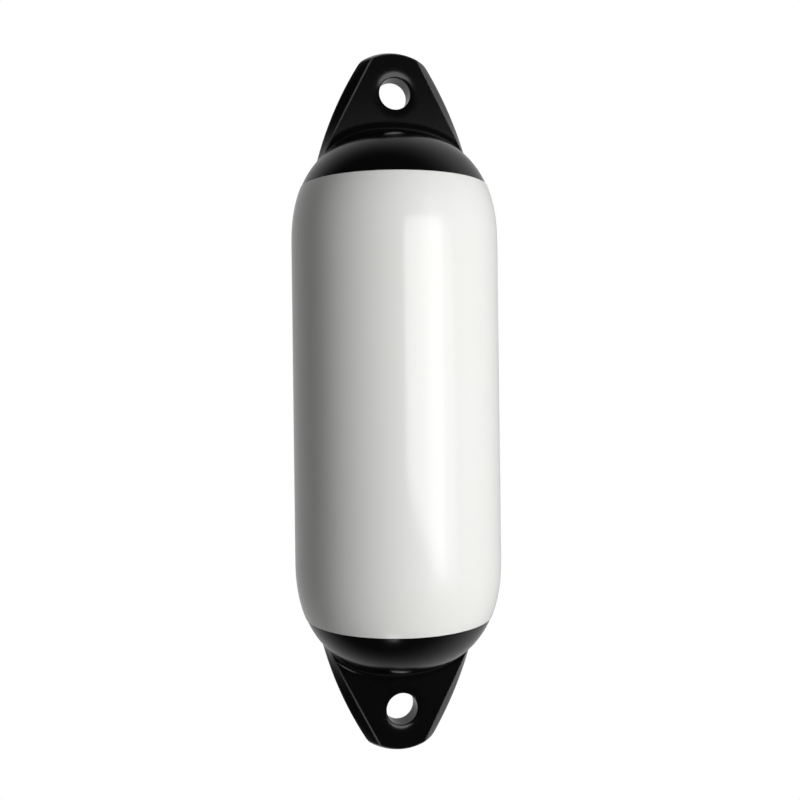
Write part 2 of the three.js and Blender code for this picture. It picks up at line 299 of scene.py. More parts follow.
class FenderColours(bpy.types.PropertyGroup):
    """sRGB hex colours of the finishes."""

    white_vinyl: bpy.props.StringProperty(
        name="Body vinyl", description="Colour of the inflated body", default="#F2F2F1"
    )
    warm_vinyl: bpy.props.StringProperty(
        name="Warmer vinyl", description="Colour of the body in its warmer places", default="#F0F0EC"
    )
    black_vinyl: bpy.props.StringProperty(
        name="End vinyl", description="Colour of the moulded ends", default="#070708"
    )
    # Painted highlight: a paler grey laid along the ears' edges, where light catches their creases
    edge_highlight_paint: bpy.props.StringProperty(
        name="Painted edge highlight", description="Pale colour painted along the ears' edges as a highlight", default="#6C6C6E"
    )
    nylon: bpy.props.StringProperty(
        name="Bush nylon", description="Colour of the valve's bush", default="#2B2D30"
    )
    acetal: bpy.props.StringProperty(
        name="Plug acetal", description="Colour of the valve's plug", default="#D9D8D2"
    )
    rubber: bpy.props.StringProperty(
        name="Seal rubber", description="Colour of the seal ring", default="#17181A"
    )
    floor: bpy.props.StringProperty(
        name="Floor", description="Colour of the studio's floor", default="#E6E6E4"
    )


class FenderStudio(bpy.types.PropertyGroup):
    """The camera, the lamps and the floor."""

    camera_azimuth: bpy.props.FloatProperty(
        name="Camera azimuth",
        description="0 looks along +Y, 90 degrees along -X",
        default=math.radians(-13),
        subtype="ANGLE",
    )
    camera_distance: bpy.props.FloatProperty(
        name="Camera distance", description="From the fender's axis", default=762 * MM, unit="LENGTH"
    )
    camera_rise: bpy.props.FloatProperty(
        name="Camera rise", description="Above the fender's middle", default=23.5 * MM, unit="LENGTH"
    )
    camera_roll: bpy.props.FloatProperty(
        name="Camera roll",
        description="Turned this far clockwise",
        default=math.radians(0.7),
        subtype="ANGLE",
    )
    focal_length: bpy.props.FloatProperty(
        name="Focal length", description="In millimetres, on a 36 mm sensor", default=43.9
    )
    shift_across: bpy.props.FloatProperty(
        name="Shift across", description="Of the picture, as a share of its width", default=0.0051
    )
    shift_up: bpy.props.FloatProperty(
        name="Shift up", description="Of the picture, as a share of its width", default=-0.03625
    )
    key_level: bpy.props.FloatProperty(
        name="Key", description="Brightness of the broad key panel", default=8.3
    )
    softbox_level: bpy.props.FloatProperty(
        name="Softbox", description="Brightness of the tall softbox", default=2.8
    )
    room_level: bpy.props.FloatProperty(
        name="Room", description="Brightness of the studio's walls as a soft fill", default=0.155
    )
    backdrop_level: bpy.props.FloatProperty(
        name="Backdrop",
        description="Brightness of the wall behind, as the fender's gloss shows it",
        default=0.5,
    )
    back_level: bpy.props.FloatProperty(
        name="Back panel", description="Brightness of the soft light behind", default=4.0
    )
    floor_drop: bpy.props.FloatProperty(
        name="Floor drop", description="From the lower tip down to the floor", default=420 * MM, unit="LENGTH"
    )


# Surfaces


def shoulder(sizes, inset, angle):
    """The shoulder's section, a quarter of a superellipse: (radius - inset) * cos(angle) ** p out from the
    axis and half_straight + (rise - inset) * sin(angle) ** p up, where p = 2 / squareness."""
    power = 2 / sizes.squareness
    out = (sizes.radius - inset) * np.abs(np.cos(angle)) ** power
    up = sizes.half_straight + (sizes.rise - inset) * np.abs(np.sin(angle)) ** power
    return out, up


def shoulder_angle(sizes, inset, height):
    """The angle at which the shoulder's section is at that height: the formula of shoulder(), solved."""
    share = (height - sizes.half_straight) / (sizes.rise - inset)
    return math.asin(share ** (sizes.squareness / 2))


def rounded(points, radii, steps):
    """A profile with its corners rounded: each corner becomes the arc that touches both of its sides, worked
    out from the half angle between them. radii holds one radius per point, and 0 keeps the point."""
    points = np.asarray(points, float)
    out = [points[:1]]
    for before, corner, after, radius in zip(points, points[1:], points[2:], radii[1:]):
        if radius == 0:
            out.append(corner[None])
            continue
        to_before = (before - corner) / np.linalg.norm(before - corner)
        to_after = (after - corner) / np.linalg.norm(after - corner)
        half = math.acos(np.clip(to_before @ to_after, -1, 1)) / 2
        bisector = (to_before + to_after) / np.linalg.norm(to_before + to_after)
        centre = corner + bisector * radius / math.sin(half)
        start = corner + to_before * radius / math.tan(half) - centre
        end = corner + to_after * radius / math.tan(half) - centre
        spread = math.pi - 2 * half
        share = np.linspace(0, 1, steps + 1)[:, None]
        arc = (np.sin((1 - share) * spread) * start + np.sin(share * spread) * end) / math.sin(spread)
        out.append(centre + arc)
    out.append(points[-1:])
    return np.concatenate(out)


def turned(profile, steps):
    """A profile of (radius, height) points carried round Z: point (r, h) at turn a lies at
    (r cos a, r sin a, h). Returns the grid of points, profile along the rows and turns along the columns."""
    turn = np.linspace(0, 2 * math.pi, steps + 1)
    turn[-1] = 0
    radius, height = np.asarray(profile, float).T
    x, y = np.outer(radius, np.cos(turn)), np.outer(radius, np.sin(turn))
    return np.stack([x, y, np.outer(height, np.ones_like(turn))], axis=-1)


def welded(grids):
    """Joins grids of points into vertices and faces: each cell is a face, points at the same place are one
    vertex, and a cell with two corners at one place is a triangle."""
    points, cells, offset = [], [], 0
    for grid in grids:
        rows, columns = grid.shape[:2]
        index = offset + np.arange(rows * columns).reshape(rows, columns)
        corners = [index[:-1, :-1], index[:-1, 1:], index[1:, 1:], index[1:, :-1]]
        cells.append(np.stack(corners, axis=-1).reshape(-1, 4))
        points.append(grid.reshape(-1, 3))
        offset += rows * columns
    points, cells = np.concatenate(points), np.concatenate(cells)
    keys = np.round(points, WELD_DECIMALS) + 0.0
    _, first, place = np.unique(keys, axis=0, return_index=True, return_inverse=True)
    cells = place.reshape(-1)[cells]
    same_as_next = cells == np.roll(cells, -1, axis=1)
    doubled = same_as_next.sum(axis=1)
    quads = cells[doubled == 0]
    folded, gap = cells[doubled == 1], same_as_next[doubled == 1]
    triangles = folded[~gap].reshape(-1, 3)
    return points[first], quads, triangles


def mesh_object(name, grids, smooth_angle=None):
    """A new object with the welded grids as its mesh, its normals outwards."""
    points, quads, triangles = welded(grids)
    mesh = bpy.data.meshes.new(name)
    mesh.from_pydata(points, [], quads.tolist() + triangles.tolist())
    work = bmesh.new()
    work.from_mesh(mesh)
    bmesh.ops.recalc_face_normals(work, faces=work.faces)
    work.to_mesh(mesh)
    work.free()
    mesh.shade_smooth()
    if smooth_angle is not None:
        mesh.set_sharp_from_angle(angle=smooth_angle)
    piece = bpy.data.objects.new(name, mesh)
    bpy.context.scene.collection.objects.link(piece)
    return piece


def placed(grid, matrix):
    """A grid of points carried by a 4 x 4 matrix."""
    matrix = np.array(matrix)
    return grid @ matrix[:3, :3].T + matrix[:3, 3]


def middle_to_frame():
    """From heights above the fender's middle to the frame's heights."""
    return Matrix.Translation((0, 0, MIDDLE))


# The moulded end


def dome_distance(body, inset, x, y, h):
    """How far a point is outside the dome: the superellipse's value less 1, over the length of its gradient.
    Returns the distance and the gradient's direction."""
    power = body.squareness
    radius, rise = body.radius - inset, body.rise - inset
    out = np.hypot(x, y)
    up = np.maximum(h - body.half_straight, 0)
    total = (out / radius) ** power + (up / rise) ** power
    total = np.maximum(total, TINY)
    level = total ** (1 / power)
    grow = total ** (1 / power - 1)
    slope_out = grow * (out / radius) ** (power - 1) / radius
    slope_up = grow * (up / rise) ** (power - 1) / rise
    steep = np.hypot(slope_out, slope_up)
    out = np.maximum(out, TINY)
    normal = (slope_out / steep * x / out, slope_out / steep * y / out, slope_up / steep)
    return (level - 1) / steep, normal


def rounded_cut(first, second, radius):
    """The distance to what two forms share, with the edge between them rounded: the larger of the two
    distances, or where both are above -radius, the length of the two once each is raised by the radius, less
    the radius."""
    both = np.hypot(np.maximum(first + radius, 0), np.maximum(second + radius, 0)) - radius
    return np.maximum(np.minimum(np.maximum(first, second), -radius), both)


def end_parts(body, end, x, y, h):
    """How far a point is outside the dome, the ear's faces with the fillet to the dome, and the ear's drafted
    tip and flanks. The fillet is the surface that a ball leaves when it rolls in the corner between the ear's
    face and the dome."""
    dome, normal = dome_distance(body, end.rim_step, x, y, h)
    foot = body.half_straight + body.rise - end.foot_drop
    reach, _ = shoulder(body, end.rim_step, shoulder_angle(body, end.rim_step, foot))
    half = end.half_ear
    face = np.abs(y) - half
    side = np.abs(x)

    ball = end.fillet * np.sqrt(np.maximum(1 - (side / reach) ** 4, FLATTEST_CORNER))
    facing = np.abs(normal[1])
    crossed = np.maximum(1 - facing**2, FLATTEST_CORNER)
    to_face, to_dome = ball - face, ball - dome
    along_face = (to_face - facing * to_dome) / crossed
    along_dome = (to_dome - facing * to_face) / crossed
    away = (to_face**2 + to_dome**2 - 2 * facing * to_face * to_dome) / crossed
    away = np.sqrt(np.maximum(away, 0))
    in_corner = (along_face > 0) & (along_dome > 0)
    faced = np.where(in_corner, np.minimum(ball - away, np.minimum(face, dome)), np.minimum(face, dome))

    depth = np.sqrt(y**2 + end.crease**2) - end.crease
    share = np.minimum(depth / half, 1)
    tip_centre = TIP_ABOVE_MIDDLE - end.tip_radius
    arc = end.tip_radius - end.tip_draft * share
    corner_x = end.top_width / 2 - end.flank_draft_top * share
    corner_h = tip_centre + np.sqrt(arc**2 - corner_x**2)
    over_arc = np.hypot(side, np.maximum(h - tip_centre, 0)) - arc
    past_corner = ((side - corner_x) * corner_x + (h - corner_h) * (corner_h - tip_centre)) / arc
    tip = np.where(side < corner_x, over_arc, past_corner) / math.hypot(1, end.tip_draft / half)

    foot_x = reach - end.flank_draft_foot * share
    length = np.hypot(foot_x - corner_x, corner_h - foot)
    down_x, down_h = (foot_x - corner_x) / length, (foot - corner_h) / length
    along = ((side - corner_x) * down_x + (h - corner_h) * down_h) / length
    off = -(side - corner_x) * down_h + (h - corner_h) * down_x
    within = np.clip(along, 0, 1)
    flank = off - 4 * end.flank_bulge * (1 - share) * within * (1 - within)
    draft = (end.flank_draft_top * (1 - within) + end.flank_draft_foot * within) * np.abs(down_h) / half
    flank = flank / np.hypot(1, draft)

    return dome, faced, rounded_cut(tip, flank, end.crease)


def end_distance(body, end, x, y, h):
    """How far a point is outside the moulded end: the dome, joined with the ear, which is what its faces and
    its edge share."""
    dome, faced, edge = end_parts(body, end, x, y, h)
    return np.minimum(dome, rounded_cut(faced, edge, end.crease))


def mark_ear_edges(mesh, body, end, upright):
    """Stores on each vertex how near it is to the edge between the ear's faces and its flanks, 1 on the edge
    and 0 as far inside it as its rounding reaches: the mask of the highlight painted along those edges.
    Upright is 1 for the top end and -1 for the bottom end."""
    points = np.empty(3 * len(mesh.vertices))
    mesh.vertices.foreach_get("co", points)
    points = points.reshape(-1, 3)
    dome, faced, edge = end_parts(body, end, points[:, 0], points[:, 1], upright * (points[:, 2] - MIDDLE))
    near = np.clip(1 + np.minimum(faced, edge) / end.crease, 0, 1) * (dome > 0.5 * MM)
    mesh.attributes.new("painted_edge_highlight", "FLOAT", "POINT").data.foreach_set("value", near.astype(np.float32))


def solved(function, low, high):
    """Where a function of an array crosses 0 between low, where it is below, and high, by halving."""
    low, high = np.array(low, float), np.array(high, float)
    for _ in range(HALVINGS):
        middle = (low + high) / 2
        inside = function(middle) < 0
        low = np.where(inside, middle, low)
        high = np.where(inside, high, middle)
    return (low + high) / 2


def outline_targets(body, end, seam, seam_radius):
    """The points of the end's outline at which the columns of its grid aim, seen from the front, from the top
    of the tip down its right side to the seam's corner: along the tip's arc, down the flank and down the
    dome's edge, and then across the seam at even turns. Returns (x, h) pairs and the number on the seam."""
    tip_centre = TIP_ABOVE_MIDDLE - end.tip_radius
    corner = math.asin(end.top_width / 2 / end.tip_radius)
    turn = np.linspace(0, corner, TIP_COLUMNS + 1)[:-1]
    tip = np.stack([end.tip_radius * np.sin(turn), tip_centre + end.tip_radius * np.cos(turn)], axis=-1)
    corner_at = np.array([end.top_width / 2, tip_centre + end.tip_radius * math.cos(corner)])
    foot = body.half_straight + body.rise - end.foot_drop
    foot_angle = shoulder_angle(body, end.rim_step, foot)
    foot_at = np.array(shoulder(body, end.rim_step, foot_angle))
    flank = corner_at + np.linspace(0, 1, FLANK_COLUMNS + 1)[:-1, None] * (foot_at - corner_at)
    seam_angle = shoulder_angle(body, end.rim_step, seam)
    angle = np.linspace(foot_angle, seam_angle, FOOT_COLUMNS + 1)[:-1]
    dome = np.stack(shoulder(body, end.rim_step, angle), axis=-1)
    turn = np.linspace(0, math.pi / 2, SEAM_COLUMNS + 1)
    across = np.stack([seam_radius * np.cos(turn), np.full_like(turn, seam)], axis=-1)
    return np.concatenate([tip, flank, dome, across]), len(turn)


def end_front(body, end):
    """The front half of the moulded end, as a grid of columns that run out from the rope eye, seen from the
    front: down the eye's throat and lip, then over the ear's face and the dome to the outline, where the
    surface meets its mirror image, or to the seam. At each point seen from the front, its depth is where
    end_distance is 0. Points are spread along a column by its length and by how far it turns."""
    seam = body.seam + end.gap
    seam_radius = float(shoulder(body, end.rim_step, shoulder_angle(body, end.rim_step, seam))[0])
    right, at_seam = outline_targets(body, end, seam, seam_radius)
    targets = np.concatenate([right, (right * [-1, 1])[-2:0:-1]])
    eye = np.array([0, -MIDDLE])
    aim = targets - eye
    reach = np.linalg.norm(aim, axis=1)
    aim = aim / reach[:, None]
    count = len(right)
    seam_columns = np.arange(count - at_seam, count + at_seam - 1)
    to_seam = np.zeros(len(targets), bool)
    to_seam[seam_columns] = True

    def at(run):
        return aim[:, 0:1] * run, eye[1] + aim[:, 1:2] * run

    def outside(run, y):
        x, h = at(run)
        return end_distance(body, end, x, y, h)

    lip_out = end.eye_radius + end.lip_width
    start = np.full((len(targets), 1), lip_out)
    far = solved(lambda run: outside(run, 0.0), start, reach[:, None] + OUTLINE_SEARCH)
    far = np.where(to_seam[:, None], reach[:, None], far)

    def depths(run):
        return solved(lambda y: outside(run, -y), np.zeros_like(run), np.full_like(run, body.radius))

    share = np.linspace(0, 1, TRIAL_RINGS)
    run = lip_out + (far - lip_out) * np.sin(share * math.pi / 2)
    y = depths(run)
    step = np.stack([np.diff(run, axis=1), np.diff(y, axis=1)], axis=-1)
    length = np.linalg.norm(step, axis=-1)
    heading = step / np.maximum(length, TINY)[..., None]
    turning = np.linalg.norm(np.diff(heading, axis=1), axis=-1)
    turning = np.pad(turning, ((0, 0), (1, 0)))
    weight = length / length.sum(axis=1, keepdims=True) + TURNING_WEIGHT * turning
    mass = np.pad(np.cumsum(weight, axis=1), ((0, 0), (1, 0)))
    mass /= mass[:, -1:]
    even = np.linspace(0, 1, END_RINGS)
    spread = np.stack([np.interp(even, m, share) for m in mass])
    run = lip_out + (far - lip_out) * np.sin(spread * math.pi / 2)
    y = depths(run)
    x, h = at(run)
    edge_y = np.where(to_seam, np.sqrt(np.maximum(seam_radius**2 - targets[:, 0] ** 2, 0)), 0)
    y[:, -1] = np.where(np.abs(np.abs(targets[:, 0]) - seam_radius) < TINY, 0, edge_y)
    face = np.stack([x, -y, h], axis=-1)

    arc = np.linspace(0, math.pi / 2, LIP_STEPS + 1)
    lip_run = end.eye_radius + end.lip_width * (1 - np.cos(arc))
    lip_y = end.half_ear - end.lip_depth * (1 - np.sin(arc))
    throat_y = np.linspace(0, lip_y[0], THROAT_STEPS + 1)[:-1]
    inner_run = np.concatenate([np.full_like(throat_y, end.eye_radius), lip_run[:-1]])
    inner_y = np.concatenate([throat_y, lip_y[:-1]])
    x, h = at(inner_run[None, :] * np.ones((len(targets), 1)))
    eye_side = np.stack([x, -inner_y[None, :] * np.ones_like(x), h], axis=-1)
    outer = np.concatenate([eye_side, face], axis=1)
    outer = np.concatenate([outer, outer[:1]])
    return outer, outer[seam_columns, -1], seam_radius


def end_inside(body, end, seam_points, seam_radius):
    """The inside of the end's front half: from the seam down the spigot, up its bore and over the cavity to
    the axis. Each profile point (r, h) stands in the direction of a point on the seam."""
    seam = body.seam + end.gap
    spigot = float(shoulder(body, body.wall, shoulder_angle(body, body.wall, body.seam))[0]) - end.gap
    bore = spigot - end.spigot_wall
    low = seam - end.spigot_length
    inset = end.rim_step + end.wall
    angle = np.linspace(shoulder_angle(body, inset, body.seam), math.pi / 2, CAVITY_POINTS)
    cavity = np.stack(shoulder(body, inset, angle), axis=-1)
    cavity[-1, 0] = 0
    corners = [(seam_radius, seam), (spigot, seam), (spigot, low), (bore, low), (bore, body.seam)]
    skirt = rounded([*corners, tuple(cavity[0])], SPIGOT_ROUNDINGS, steps=4)
    profile = np.concatenate([skirt, cavity[1:]])
    direction = seam_points[:, None, :2] / seam_radius
    flat = direction * profile[None, :, 0:1]
    height = np.broadcast_to(profile[None, :, 1:2], flat.shape[:2] + (1,))
    return np.concatenate([flat, height], axis=-1)


def moulded_end(name, body, end, matrix):
    """Both halves of the end: the front half and its mirror image across the ear's middle plane."""
    outer, seam_points, seam_radius = end_front(body, end)
    halves = [outer, end_inside(body, end, seam_points, seam_radius)]
    grids = halves + [grid * [1, -1, 1] for grid in halves]
    return mesh_object(name, [placed(grid, matrix) for grid in grids])


def valve_matrix(body, end, valve):
    """From the valve's own frame, +Z out of the dome along the valve's axis, to the fender's frame."""
    radius, rise = body.radius - end.rim_step, body.rise - end.rim_step
    angle = math.acos((valve.offset / radius) ** (body.squareness / 2))
    out, up = shoulder(body, end.rim_step, angle)
    power = body.squareness - 1
    slope_out = (out / radius) ** power / radius
    slope_up = ((up - body.half_straight) / rise) ** power / rise
    tilt = math.atan2(slope_out, slope_up)
    return Matrix.Translation((0, out, up + MIDDLE)) @ Matrix.Rotation(-tilt, 4, "X")


ValveLevels = namedtuple("ValveLevels", "face flange_back barrel_end head_top head_back ring_centre seat")


def valve_levels(valve, gap):
    """The heights of the valve's steps above the dome's curve, from its face downwards."""
    face = -valve.sink
    flange_back = face - valve.flange_thickness
    head_top = face - gap
    head_back = head_top - valve.head_thickness
    half_ring = valve.ring_section / 2
    ring_centre = head_back - gap - half_ring
    return ValveLevels(
        face=face,
        flange_back=flange_back,
        barrel_end=flange_back - valve.barrel_length,
        head_top=head_top,
        head_back=head_back,
        ring_centre=ring_centre,
        seat=ring_centre - half_ring - gap,
    )


def combined(piece, other, operation):
    """Adds the other form to the piece or takes it out of it, and removes the other."""
    boolean = piece.modifiers.new(other.name, "BOOLEAN")
    boolean.operation = operation
    boolean.solver = "EXACT"
    boolean.object = other
    applied(piece)
    bpy.data.objects.remove(other)


def applied(piece):
    """Makes the result of the piece's modifiers its mesh."""
    bpy.context.view_layer.update()
    depsgraph = bpy.context.evaluated_depsgraph_get()
    mesh = bpy.data.meshes.new_from_object(piece.evaluated_get(depsgraph))
    piece.modifiers.clear()
    piece.data = mesh


# Finishes


def linear(hex_colour):
    """An sRGB hex colour as a linear RGBA tuple."""
    value = hex_colour.lstrip("#")
    srgb = np.array([int(value[i : i + 2], 16) for i in (0, 2, 4)]) / 255
    low, high = srgb / 12.92, ((srgb + 0.055) / 1.055) ** 2.4
    return (*np.where(srgb <= 0.04045, low, high).tolist(), 1.0)


def add_node(tree, kind, settings=None, values=None, links=None):
    """Adds a node of that kind, with its settings, its inputs' values and the sockets linked to them."""
    node = tree.nodes.new(kind)
    for name, value in (settings or {}).items():
        setattr(node, name, value)
    for name, value in (values or {}).items():
        node.inputs[name].default_value = value
    for name, socket in (links or {}).items():
        tree.links.new(socket, node.inputs[name])
    return node


def new_material(name):
    """An empty node material and its tree."""
    material = bpy.data.materials.new(name)
    material.use_nodes = True
    material.node_tree.nodes.clear()
    return material, material.node_tree


def per_metre(size):
    """The scale of a pattern whose cells are that many metres across."""
    return 1 / size


def white_vinyl(colours):
    """Plasticised PVC, blow moulded and inflated tight: a smooth wet gloss over a very slightly uneven skin,
    faintly warmer in places."""
    material, tree = new_material("glossy_white_blow_moulded_pvc")
    place = add_node(tree, "ShaderNodeTexCoord").outputs["Object"]
    cloud = add_node(
        tree,
        "ShaderNodeTexNoise",
        values={"Scale": per_metre(90 * MM), "Detail": 2.0, "Roughness": 0.5},
        links={"Vector": place},
    )
    tint = add_node(
        tree,
        "ShaderNodeMix",
        {"data_type": "RGBA"},
        {6: linear(colours.white_vinyl), 7: linear(colours.warm_vinyl)},
        {0: cloud.outputs["Fac"]},
    )
    waves = add_node(
        tree,
        "ShaderNodeTexNoise",
        values={"Scale": per_metre(55 * MM), "Detail": 1.0, "Roughness": 0.4},
        links={"Vector": place},
    )
    skin = add_node(
        tree,
        "ShaderNodeBump",
        values={"Strength": 0.25, "Distance": 0.35 * MM},
        links={"Height": waves.outputs["Fac"]},
    )
    shader = add_node(
        tree,
        "ShaderNodeBsdfPrincipled",
        values={"Roughness": 0.13, "IOR": 1.53},
        links={"Base Color": tint.outputs[2], "Normal": skin.outputs["Normal"]},
    )
    add_node(tree, "ShaderNodeOutputMaterial", links={"Surface": shader.outputs[0]})
    return material


def black_vinyl(colours):
    """Plasticised PVC, injection moulded against a finely blasted mould: a satin black with soft highlights,
    and a thin line of paler colour along the ears' edges, a painted highlight on their creases."""
    material, tree = new_material("satin_black_moulded_pvc")
    place = add_node(tree, "ShaderNodeTexCoord").outputs["Object"]
    grain = add_node(
        tree,
        "ShaderNodeTexNoise",
        values={"Scale": per_metre(1.2 * MM), "Detail": 2.0, "Roughness": 0.6},
        links={"Vector": place},
    )
    skin = add_node(
        tree,
        "ShaderNodeBump",
        values={"Strength": 0.08, "Distance": 0.05 * MM},
        links={"Height": grain.outputs["Fac"]},
    )
    cloud = add_node(
        tree,
        "ShaderNodeTexNoise",
        values={"Scale": per_metre(30 * MM), "Detail": 3.0, "Roughness": 0.5},
        links={"Vector": place},
    )
    sheen = add_node(
        tree,
        "ShaderNodeMapRange",
        values={"To Min": 0.15, "To Max": 0.19},
        links={"Value": cloud.outputs["Fac"]},
    )
    # The ears' edges mix in a paler grey by this mask: a painted highlight on their creases
    edge = add_node(tree, "ShaderNodeAttribute", {"attribute_name": "painted_edge_highlight"})
    painted_highlight = add_node(
        tree,
        "ShaderNodeMix",
        {"data_type": "RGBA"},
        {6: linear(colours.black_vinyl), 7: linear(colours.edge_highlight_paint)},
        {0: edge.outputs["Fac"]},
    )
    shader = add_node(
        tree,
        "ShaderNodeBsdfPrincipled",
        values={"IOR": 1.5},
        links={
            "Base Color": painted_highlight.outputs[2],
            "Roughness": sheen.outputs["Result"],
            "Normal": skin.outputs["Normal"],
        },
    )
    add_node(tree, "ShaderNodeOutputMaterial", links={"Surface": shader.outputs[0]})
    return material


def moulded_plastic(name, colour, roughness, ior, grain_size, strength):
    """A moulded plastic or rubber: its colour, its gloss and the fine grain of its mould."""
    material, tree = new_material(name)
    place = add_node(tree, "ShaderNodeTexCoord").outputs["Object"]
    grain = add_node(
        tree,
        "ShaderNodeTexNoise",
        values={"Scale": per_metre(grain_size), "Detail": 2.0, "Roughness": 0.5},
        links={"Vector": place},
    )
    skin = add_node(
        tree,
        "ShaderNodeBump",
        values={"Strength": strength, "Distance": 0.05 * MM},
        links={"Height": grain.outputs["Fac"]},
    )
    shader = add_node(
        tree,
        "ShaderNodeBsdfPrincipled",
        values={"Base Color": linear(colour), "Roughness": roughness, "IOR": ior},
        links={"Normal": skin.outputs["Normal"]},
    )
    add_node(tree, "ShaderNodeOutputMaterial", links={"Surface": shader.outputs[0]})
    return material


# Pieces


class FENDER_OT_body(bpy.types.Operator):
    """Builds the inflated white body."""

    bl_idname = "fender.body"
    bl_label = "Inflated body"

    def execute(self, context):
        body = context.scene.fender_body
        rim = shoulder_angle(body, 0, body.seam)
        outer = np.stack(shoulder(body, 0, np.linspace(0, rim, OUTER_SHOULDER_POINTS)), axis=-1)
        inner_rim = shoulder_angle(body, body.wall, body.seam)
        angle = np.linspace(inner_rim, 0, INNER_SHOULDER_POINTS)
        inner = np.stack(shoulder(body, body.wall, angle), axis=-1)
        corner = rounded([outer[-2], outer[-1], inner[0]], [0, body.rim_rounding, 0], steps=6)[1:-1]
        inner_radii = [0, INNER_RIM_ROUNDING, 0]
        inner_corner = rounded([outer[-1], inner[0], inner[3]], inner_radii, steps=4)[1:-1]
        below_corner = outer[:, 1] < corner[0, 1] - INNER_RIM_ROUNDING / 2
        below_inner_corner = inner[:, 1] < inner_corner[-1, 1]
        upper = np.concatenate([outer[below_corner], corner, inner_corner, inner[below_inner_corner]])
        straight = np.linspace(-body.half_straight, body.half_straight, STRAIGHT_POINTS)[1:-1]
        outside = np.stack([np.full_like(straight, body.radius), straight], axis=-1)
        inside = np.stack([np.full_like(straight, body.radius - body.wall), -straight], axis=-1)
        lower = (upper * [1, -1])[::-1]
        profile = np.concatenate([outside, upper, inside, lower])
        profile = np.concatenate([profile, profile[:1]])
        piece = mesh_object("white_body", [placed(turned(profile, BODY_TURN_STEPS), middle_to_frame())])
        piece.data.materials.append(white_vinyl(context.scene.fender_colours))
        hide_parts("body_shell")
        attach(piece, "fender")
        return {"FINISHED"}


class FENDER_OT_ends(bpy.types.Operator):
    """Builds the two black moulded ends with their rope eyes."""

    bl_idname = "fender.ends"
    bl_label = "Moulded ends"

    def execute(self, context):
        scene = context.scene
        body, end, valve = scene.fender_body, scene.fender_end, scene.fender_valve
        finish = black_vinyl(scene.fender_colours)
        upside_down = Matrix.Rotation(math.pi, 4, "Y")
        top = moulded_end("black_top_end", body, end, middle_to_frame())
        bottom = moulded_end("black_bottom_end", body, end, middle_to_frame() @ upside_down)
        self.fit_valve(top, body, end, valve)

        for piece, node, upright in ((top, "top_end", 1), (bottom, "bottom_end", -1)):
            piece.data.set_sharp_from_angle(angle=END_SHARP_ANGLE)
            piece.data.materials.clear()
            piece.data.materials.append(finish)
            mark_ear_edges(piece.data, body, end, upright)
            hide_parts(node)
            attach(piece, "fender")
        return {"FINISHED"}

    def fit_valve(self, top, body, end, valve):
        """Adds the boss under the top dome, and takes out the stepped hole that the valve's bush fills."""
        at_valve = valve_matrix(body, end, valve)
        bore = valve.barrel_radius + end.gap
        boss_top = -end.wall / 2
        boss_low = boss_top - valve.boss_length
        boss_radius = bore + valve.boss_wall
        profile = [(0, boss_low), (boss_radius, boss_low), (boss_radius, boss_top), (0, boss_top)]
        boss = mesh_object("boss", [placed(turned(profile, VALVE_TURN_STEPS), at_valve)])
        combined(top, boss, "UNION")

        recess = valve.flange_radius + end.gap
        floor = -valve.sink - valve.flange_thickness - end.gap
        low = boss_low - CUTTER_OVERSHOOT
        profile = [(0, low), (bore, low), (bore, floor), (recess, floor)]
        profile += [(recess, CUTTER_OVERSHOOT), (0, CUTTER_OVERSHOOT)]
        hole = mesh_object("hole", [placed(turned(profile, VALVE_TURN_STEPS), at_valve)])
        combined(top, hole, "DIFFERENCE")


